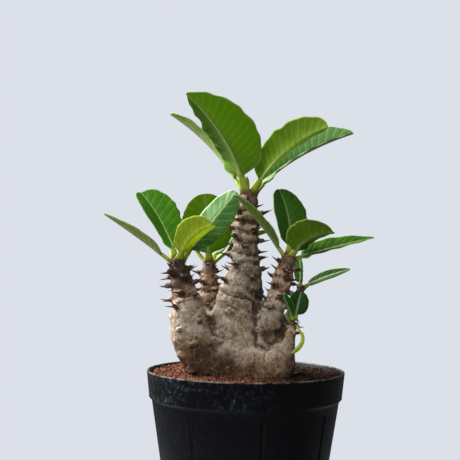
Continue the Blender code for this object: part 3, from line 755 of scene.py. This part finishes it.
def stem_coordinates(points):
    """For each point, the distance below the crown of the stem it belongs to, blended where stems meet."""
    total = np.zeros(len(points))
    weight = np.zeros(len(points))
    for nodes in STEMS.values():
        travelled = 0.0
        nearest = np.full(len(points), np.inf)
        along_here = np.zeros(len(points))
        for upper, lower in zip(nodes, nodes[1:]):
            top, foot = np.array(upper[:3]) * MM, np.array(lower[:3]) * MM
            run = foot - top
            length = float(np.linalg.norm(run))
            share = np.clip((points - top) @ run / length ** 2, 0, 1)
            radius = (upper[3] + (lower[3] - upper[3]) * share) * MM
            away = np.linalg.norm(points - top - share[:, None] * run, axis=1) - radius
            closer = away < nearest
            nearest = np.where(closer, away, nearest)
            along_here = np.where(closer, travelled + share * length, along_here)
            travelled += length
        pull = np.exp(-np.clip(nearest, 0, None) / (1.2 * MM))
        total += along_here * pull
        weight += pull
    return total / np.maximum(weight, 1e-9)


def nearness(points, centres, reach, flat=1.0):
    """1 on a centre, fading to 0 at its reach, which is shorter up and down where flat is over one."""
    best = np.zeros(len(points))
    for centre, size in centres:
        away = np.linalg.norm((points - np.array(centre)) * np.array((1, 1, flat)), axis=1) / (reach * size)
        best = np.maximum(best, np.clip(1 - away, 0, 1))
    return best


def vertex_places(mesh):
    flat = np.empty(len(mesh.vertices) * 3)
    mesh.vertices.foreach_get("co", flat)
    return flat.reshape(-1, 3)


def vertex_normals(mesh):
    flat = np.empty(len(mesh.vertices) * 3)
    mesh.vertices.foreach_get("normal", flat)
    return flat.reshape(-1, 3)


def edge_pairs(mesh):
    flat = np.empty(len(mesh.edges) * 2, dtype=np.int64)
    mesh.edges.foreach_get("vertices", flat)
    return flat.reshape(-1, 2)


def relaxed(values, pairs, rounds):
    """Each vertex's values averaged with its neighbours', over and over."""
    count = np.bincount(pairs.ravel(), minlength=len(values))[:, None]
    for _ in range(rounds):
        gathered = np.zeros_like(values)
        np.add.at(gathered, pairs[:, 0], values[pairs[:, 1]])
        np.add.at(gathered, pairs[:, 1], values[pairs[:, 0]])
        values = gathered / count
    return values


def keep_attribute(mesh, name, values):
    mesh.attributes.new(name, "FLOAT", "POINT").data.foreach_set("value", values.astype(np.float32))


def surface_of(mesh, points):
    return BVHTree.FromPolygons([Vector(p) for p in points], [tuple(p.vertices) for p in mesh.polygons])


def wandering(points, scale):
    """Three smooth noises for each point, one to an axis, the same in every run."""
    offsets = (Vector((0, 0, 0)), Vector((37, 11, 5)), Vector((-13, 29, 17)))
    return np.array([[noise.noise(Vector(p) * scale + offset) for offset in offsets] for p in points])


def fold_at(points):
    """1 at the bottom of the fold on the front of the trunk, fading out to each side."""
    across = points[:, (0, 2)]
    nearest = np.full(len(points), np.inf)
    for start, end in zip(FOLD, FOLD[1:]):
        start, run = np.array(start) * MM, (np.array(end) - np.array(start)) * MM
        share = np.clip((across - start) @ run / (run @ run), 0, 1)
        nearest = np.minimum(nearest, np.linalg.norm(across - start - share[:, None] * run, axis=1))
    on_front = np.clip((-points[:, 1] - 3 * MM) / (4 * MM), 0, 1)
    return np.clip(1 - nearest / (FOLD_REACH * MM), 0, 1) ** 1.5 * on_front


def build_trunk():
    piece = trunk_body()
    mesh = piece.data
    points, normals = vertex_places(mesh), vertex_normals(mesh)
    pairs = edge_pairs(mesh)
    below = stem_coordinates(points)
    tips = [(place + outward * KNOB_OUT * size * 0.9, size) for place, outward, up, size in knobs()]
    tips.extend((Vector(mark[:3]) * MM, mark[3]) for mark in BROWN_MARKS)
    knob = nearness(points, tips, 2.0 * MM)
    wobble = wandering(points, 300) * 0.9 * MM
    worn = nearness(points + wobble, list(worn_knobs(surface_of(mesh, points))), 3.6 * MM, 1.7)
    worn = worn * worn * (3 - 2 * worn)
    swell = np.array([noise.noise(Vector(p) * 110) for p in points])
    rough = np.array([noise.fractal(Vector(p) * 420, 0.9, 2.0, 3) for p in points])
    low = np.clip(below / (45 * MM), 0, 1)
    bands = np.sin(below / RIPPLE * TURN + swell * 4)
    bands = bands * np.clip((points[:, 2] - RIPPLES_FROM) / RIPPLES_FADE, 0, 1)
    buried = np.clip((points[:, 2] - 74 * MM) / (5 * MM), 0, 1)
    fold = fold_at(points + wobble)
    lift = swell * SWELL_LIFT * low + rough * ROUGH_LIFT + worn * WORN_LIFT + bands * BAND_LIFT
    lift = lift - fold * FOLD_DEPTH * MM
    points = points + normals * (lift * buried)[:, None]
    mesh.vertices.foreach_set("co", points.ravel())
    mesh.update()
    smoother = relaxed(points, pairs, 5)
    hollow = ((smoother - points) * vertex_normals(mesh)).sum(axis=1) / (0.22 * MM)
    keep_attribute(mesh, "depth", np.clip(below / (50 * MM), 0, 1))
    keep_attribute(mesh, "ring", below / MM * 0.8)
    keep_attribute(mesh, "knob", knob)
    keep_attribute(mesh, "worn", worn)
    keep_attribute(mesh, "fold", fold)
    # Hollows and bumps of the skin, which the bark finish turns into painted shade and painted highlights.
    keep_attribute(mesh, "hollow", np.clip(0.5 + 0.5 * hollow, 0, 1))
    # How much the smoothed skin faces up, which the bark finish turns into painted top light.
    keep_attribute(mesh, "up", relaxed(vertex_normals(mesh), pairs, 6)[:, 2])
    # Spots of stain and painted shade, and spots of bleach and painted highlight.
    for name, marks in (("stain", STAINS_AND_SHADE_SPOTS), ("pale", BLEACH_AND_HIGHLIGHT_SPOTS)):
        centres = [(Vector(mark[:3]) * MM, mark[3]) for mark in marks]
        keep_attribute(mesh, name, nearness(points, centres, PATCH_REACH))
    mesh.shade_smooth()
    in_frame(piece, "bark", "trunk")
    build_spines()
    return surface_of(mesh, points)


def spine_shape():
    """A horn one unit long on Z and one in radius at its foot, drawn up ring by ring."""
    bm = bmesh.new()
    bmesh.ops.create_circle(bm, cap_ends=True, segments=8, radius=1.0)
    end = bm.faces[:]
    for narrower in (0.60, 0.40, 0.22, 0.03):
        drawn = bmesh.ops.extrude_face_region(bm, geom=end)
        end = [item for item in drawn["geom"] if isinstance(item, bmesh.types.BMFace)]
        ring = [item for item in drawn["geom"] if isinstance(item, bmesh.types.BMVert)]
        bmesh.ops.translate(bm, verts=ring, vec=(0, 0, 0.25))
        radius = Vector(ring[0].co.xy).length
        bmesh.ops.scale(bm, verts=ring, vec=(narrower / radius, narrower / radius, 1))
    mesh = bpy.data.meshes.new("horn")
    bm.to_mesh(mesh)
    bm.free()
    return mesh


def add_horn(bm, along, shape, foot, direction, across, length, wide, thick, hook):
    """One horn set into the skin at its foot and bent by its hook at the point."""
    tilt = facing(direction, across)
    before = len(bm.verts)
    bm.from_mesh(shape)
    bm.verts.ensure_lookup_table()
    for vert in bm.verts[before:]:
        share = vert.co.z
        local = Vector((vert.co.x * wide, vert.co.y * thick, share * (length + 0.8 * MM) - 0.8 * MM))
        vert.co = foot + tilt @ local + hook * share * share
        vert[along] = share


def build_spines():
    """Two stout spines to a knob, leaning apart and curving slightly up, and brown scales round each crown."""
    chance = random.Random(11)
    shape = spine_shape()
    bm = bmesh.new()
    along = bm.verts.layers.float.new("along")
    for place, outward, up, size in knobs():
        across = up.cross(outward).normalized()
        for side in (-1, 1):
            spread = math.radians(chance.uniform(20, 34))
            rise = math.radians(chance.uniform(0, 22))
            lean = outward * math.cos(spread) + across * side * math.sin(spread)
            direction = (lean * math.cos(rise) + up * math.sin(rise)).normalized()
            foot = place + outward * KNOB_OUT * size * 0.75 + across * side * 1.0 * MM * size
            add_horn(bm, along, shape, foot, direction, across,
                     SPINE_LENGTH * size * chance.uniform(0.75, 1.15),
                     SPINE_RADIUS * size, SPINE_RADIUS * size * 0.8, up * 0.35 * MM * size)
    for name, nodes in STEMS.items():
        centre, radius, up = point_below_crown(name, 0.3 * MM)
        size = min(1, radius / (3.6 * MM))
        for index in range(SCALES):
            turn = (index + chance.uniform(-0.3, 0.3)) * TURN / SCALES
            outward = Matrix.Rotation(turn, 3, up) @ up.orthogonal().normalized()
            foot = centre + outward * radius * chance.uniform(0.6, 0.9) + up * radius * 0.25
            direction = up + outward * chance.uniform(0.2, 1.2)
            add_horn(bm, along, shape, foot, direction, up.cross(outward),
                     SCALE_LENGTH * size * chance.uniform(0.6, 1.2),
                     1.3 * MM * size, 0.8 * MM * size, -outward * 0.3 * MM)
    bmesh.ops.recalc_face_normals(bm, faces=bm.faces[:])
    spines = new_piece("stem_spines", bm, spine_finish())
    in_frame(spines, "bark")


# ---------------------------------------------------------------- soil

def soil_rise(x, y):
    """Height of the heaped soil above its level surface."""
    away = (Vector((x, y)) - MOUND_CENTRE).length / MOUND_WIDTH
    ripple = 0.35 * MM * math.sin(x / (5.5 * MM)) * math.cos(y / (4.5 * MM))
    return MOUND_HEIGHT * math.exp(-away * away) + ripple


def grain_shapes(chance):
    """A few lumpy little clods, about a unit across."""
    shapes = []
    for _ in range(6):
        bm = bmesh.new()
        bmesh.ops.create_cube(bm, size=1.0)
        bmesh.ops.bevel(bm, geom=bm.edges[:], affect="EDGES", offset=0.27, segments=1, profile=0.5,
                        material=-1)
        for vert in bm.verts:
            vert.co += Vector([chance.uniform(-0.11, 0.11) for _ in range(3)])
        mesh = bpy.data.meshes.new("clod")
        bm.to_mesh(mesh)
        bm.free()
        shapes.append(mesh)
    return shapes


def build_soil(trunk_surface):
    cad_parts["soil"].data.materials.clear()
    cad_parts["soil"].data.materials.append(soil_finish("clay soil bed", False))
    chance = random.Random(21)
    shapes = grain_shapes(chance)
    bm = bmesh.new()
    tone = bm.verts.layers.float.new("tone")
    made = 0
    while made < GRAINS:
        made += 1
        reach = SOIL_RADIUS * math.sqrt(chance.random())
        turn = chance.uniform(0, TURN)
        x, y = reach * math.cos(turn), reach * math.sin(turn)
        size = chance.triangular(0.9, 2.2, 1.3) * MM
        height = SOIL_TOP + soil_rise(x, y) + chance.uniform(-0.25, 0.55) * MM
        place = Vector((x, y, height))
        if reach + 0.5 * size > SOIL_RADIUS:
            continue
        nearest, normal, _, away = trunk_surface.find_nearest(place)
        if (place - nearest).dot(normal) < 0.25 * size:
            continue
        spin = Matrix.Rotation(chance.uniform(0, TURN), 3, Vector([chance.uniform(-1, 1) for _ in range(3)]))
        stretch = Matrix.Diagonal([size * chance.uniform(0.75, 1.1) for _ in range(3)])
        before = len(bm.verts)
        bm.from_mesh(shapes[chance.randrange(6)])
        bm.verts.ensure_lookup_table()
        shade = chance.random()
        for vert in bm.verts[before:]:
            vert.co = place + spin @ (stretch @ vert.co)
            vert[tone] = shade
    bmesh.ops.recalc_face_normals(bm, faces=bm.faces[:])
    grains = new_piece("soil_grains", bm, soil_finish("clay grains", True), smooth=False)
    in_frame(grains, "soil_grains")


# ---------------------------------------------------------------- leaves

def blade_width(along, widest, fullness, blunt):
    """Share of the leaf's half width, nothing at both ends and one at the widest place."""
    if along <= 0 or along >= 1:
        return 0
    rising = (along / widest) ** (widest * fullness)
    falling = ((1 - along) / (1 - widest)) ** ((1 - widest) * fullness * blunt)
    foot = min(1, along * 8 + 0.1)
    return rising * falling * foot * foot * (3 - 2 * foot)


def leaf_point(row, looks, ragged, lopsided, along, across, upper):
    """A point of the leaf and what its finish reads there; along 0 to 1 from stem to tip, across -1 to 1."""
    stem, bend, tip, face, half_width, fold, widest, fullness, petiole, reach = row
    top, under, glow, share, veins, wave, waves, blunt = looks
    *crown, crown_radius = STEMS[stem][0]
    bend, tip = Vector(bend) * MM, Vector(tip) * MM
    start = bend.normalized() * (crown_radius - 0.8) * MM
    rib = start * (1 - along) ** 2 + bend * 2 * along * (1 - along) + tip * along ** 2
    run = ((bend - start) * (1 - along) + (tip - bend) * along).normalized()
    upward = Vector(face)
    upward = (upward - run * upward.dot(run)).normalized()
    sideways = upward.cross(run)
    blade = (along - petiole) / (1 - petiole)
    stalk = (0.95 + 0.05 * half_width) * MM * min(1, half_width / 5 + 0.3)
    spread = stalk * (1 + 0.9 * math.exp(-along / 0.05))
    leafy = half_width * MM * blade_width(blade, widest, fullness, blunt)
    half_seed, tearing = (4, 0.3) if across > 0 else (-4, 1.5)
    ragged *= noise.noise(Vector((blade * 13, half_seed, half_width))) * tearing
    leafy *= 1 + ragged * min(1, max(0, blade * 3 - 0.4))
    leafy *= lopsided if across > 0 else 1
    width = max(spread * max(0, 1 - max(0, blade) * 6), leafy, 0.12 * MM)
    opened = min(1, max(0, blade * 6))
    side = abs(across)
    angle = math.radians(fold) * opened * (1.12 - 0.22 * side)
    ripple = wave * MM * side ** 3 * opened * math.sin(TURN * waves * blade + (0.8 if across > 0 else 2.6))
    quilt = 0.05 * MM * opened * math.cos(TURN * (blade * veins - side * 1.6)) * min(1, side * 3) * (1 - side)
    rib_size = (1.15 * (1 - along) + 0.25) * min(1, half_width / 8)
    rib_bulge = math.exp(-(across * width / (0.55 * MM)) ** 2) * rib_size * MM * opened
    thin = min(1, max(0, blade * 5))
    thickness = 1.5 * stalk * (1 - thin) * (1 - 0.6 * across ** 2) + thin * (0.40 - 0.16 * across ** 2) * MM
    level = thickness / 2 - 0.25 * rib_bulge * opened if upper else -thickness / 2 - 0.6 * rib_bulge
    flat = sideways * across * width * math.cos(angle) + upward * side * width * math.sin(angle)
    place = Vector(crown) * MM + rib + flat + upward * (level + ripple - quilt)
    facts = {"blade": max(0, blade), "side": side, "off": side * width / MM, "edge": (1 - side) * width / MM,
             "along": along}
    return place, facts


def build_leaf(name, row):
    looks = LEAF_LOOKS[name]
    length = Vector(row[2]).length
    rows = round(min(90, max(24, length * 1.8)))
    columns = 2 * round(min(13, max(5, row[4] * 1.1)))
    bm = bmesh.new()
    layers = {word: bm.verts.layers.float.new(word) for word in ("blade", "side", "off", "edge", "along")}
    bmesh.ops.create_grid(bm, x_segments=rows, y_segments=columns, size=1)
    raised = bmesh.ops.extrude_face_region(bm, geom=bm.faces[:])["geom"]
    lifted = [item for item in raised if isinstance(item, bmesh.types.BMVert)]
    bmesh.ops.translate(bm, verts=lifted, vec=(0, 0, 2))
    bmesh.ops.recalc_face_normals(bm, faces=bm.faces[:])
    for face in bm.faces:
        face.material_index = 0 if face.normal.z > 0.5 else 1
    for vert in bm.verts:
        along = 0.5 * (vert.co.x + 1)
        along -= 0.08 * math.sin(TURN * along)
        vert.co, facts = leaf_point(row, looks, RAGGED.get(name, 0.04),
                                   LOPSIDED.get(name, 1), along, vert.co.y, vert.co.z > 1)
        for word, value in facts.items():
            vert[layers[word]] = value
    piece = new_piece(name.replace("leaf_", "blade_"), bm, leaf_finish(name, row, looks, True),
                      leaf_finish(name, row, looks, False))
    in_frame(piece, "young_leaf" if name in YOUNG else "leaf", name)


# ---------------------------------------------------------------- setting

def build_floor():
    """A pale round floor that fades into the backdrop well away from the pot."""
    bm = bmesh.new()
    bmesh.ops.create_circle(bm, cap_ends=True, segments=128, radius=1.4)
    f = Finish("pale studio floor")
    place = f.place()
    x, y, z = f.split(place)
    away = (x * x + y * y).math("SQRT")
    grain = f.noise(place, 90, 3)
    paper = f.principled(base_color=f.mix(grain, linear("878B92"), linear("8E9299")), roughness=0.85)
    clear = f.node("BsdfTransparent")
    faded = f.node("MixShader", inputs={0: away.rise(0.09, 0.18), 1: paper, 2: clear})
    floor = new_piece("studio_floor", bm, f.done(faded))


def build_world():
    world = bpy.data.worlds.new("studio air")
    bpy.context.scene.world = world
    world.use_nodes = True
    tree = world.node_tree
    tree.nodes.clear()
    seen = tree.nodes.new("ShaderNodeBackground")
    seen.inputs["Color"].default_value = (*linear(BACKDROP), 1)
    lit = tree.nodes.new("ShaderNodeBackground")
    lit.inputs["Color"].default_value = (0.93, 0.96, 1.0, 1)
    lit.inputs["Strength"].default_value = 0.18
    path = tree.nodes.new("ShaderNodeLightPath")
    both = tree.nodes.new("ShaderNodeMixShader")
    out = tree.nodes.new("ShaderNodeOutputWorld")
    tree.links.new(path.outputs["Is Camera Ray"], both.inputs[0])
    tree.links.new(lit.outputs[0], both.inputs[1])
    tree.links.new(seen.outputs[0], both.inputs[2])
    tree.links.new(both.outputs[0], out.inputs["Surface"])


def add_panel(name, place, target, size, power, colour):
    """A square soft light aimed at a point."""
    light = bpy.data.lights.new(name, "AREA")
    light.shape = "SQUARE"
    light.size = size
    light.energy = power
    light.color = colour
    lamp = bpy.data.objects.new(name, light)
    bpy.context.scene.collection.objects.link(lamp)
    lamp.location = place
    lamp.rotation_euler = (Vector(place) - Vector(target)).to_track_quat("Z", "Y").to_euler()


def build_lights():
    middle = (0, 0, 0.13)
    add_panel("window from the upper left", (-0.62, 0.26, 0.73), middle, 0.42, 30, (1.0, 0.985, 0.95))
    add_panel("soft front fill", (-0.42, -0.66, 0.68), middle, 0.7, 6.0, (1.0, 0.985, 0.96))


def build_camera():
    camera = bpy.data.cameras.new("front view")
    camera.lens = CAMERA_LENS
    camera.sensor_width = 36
    camera.clip_start = 0.01
    viewer = bpy.data.objects.new("front view", camera)
    bpy.context.scene.collection.objects.link(viewer)
    viewer.location = CAMERA_PLACE
    viewer.rotation_euler = (math.radians(90), CAMERA_ROLL, 0)
    bpy.context.scene.camera = viewer
    bpy.context.scene.view_settings.view_transform = "Standard"


build_camera()
build_world()
build_lights()
build_floor()
build_pot()
surface = build_trunk()
build_soil(surface)
for leaf_name, leaf_row in LEAVES.items():
    build_leaf(leaf_name, leaf_row)
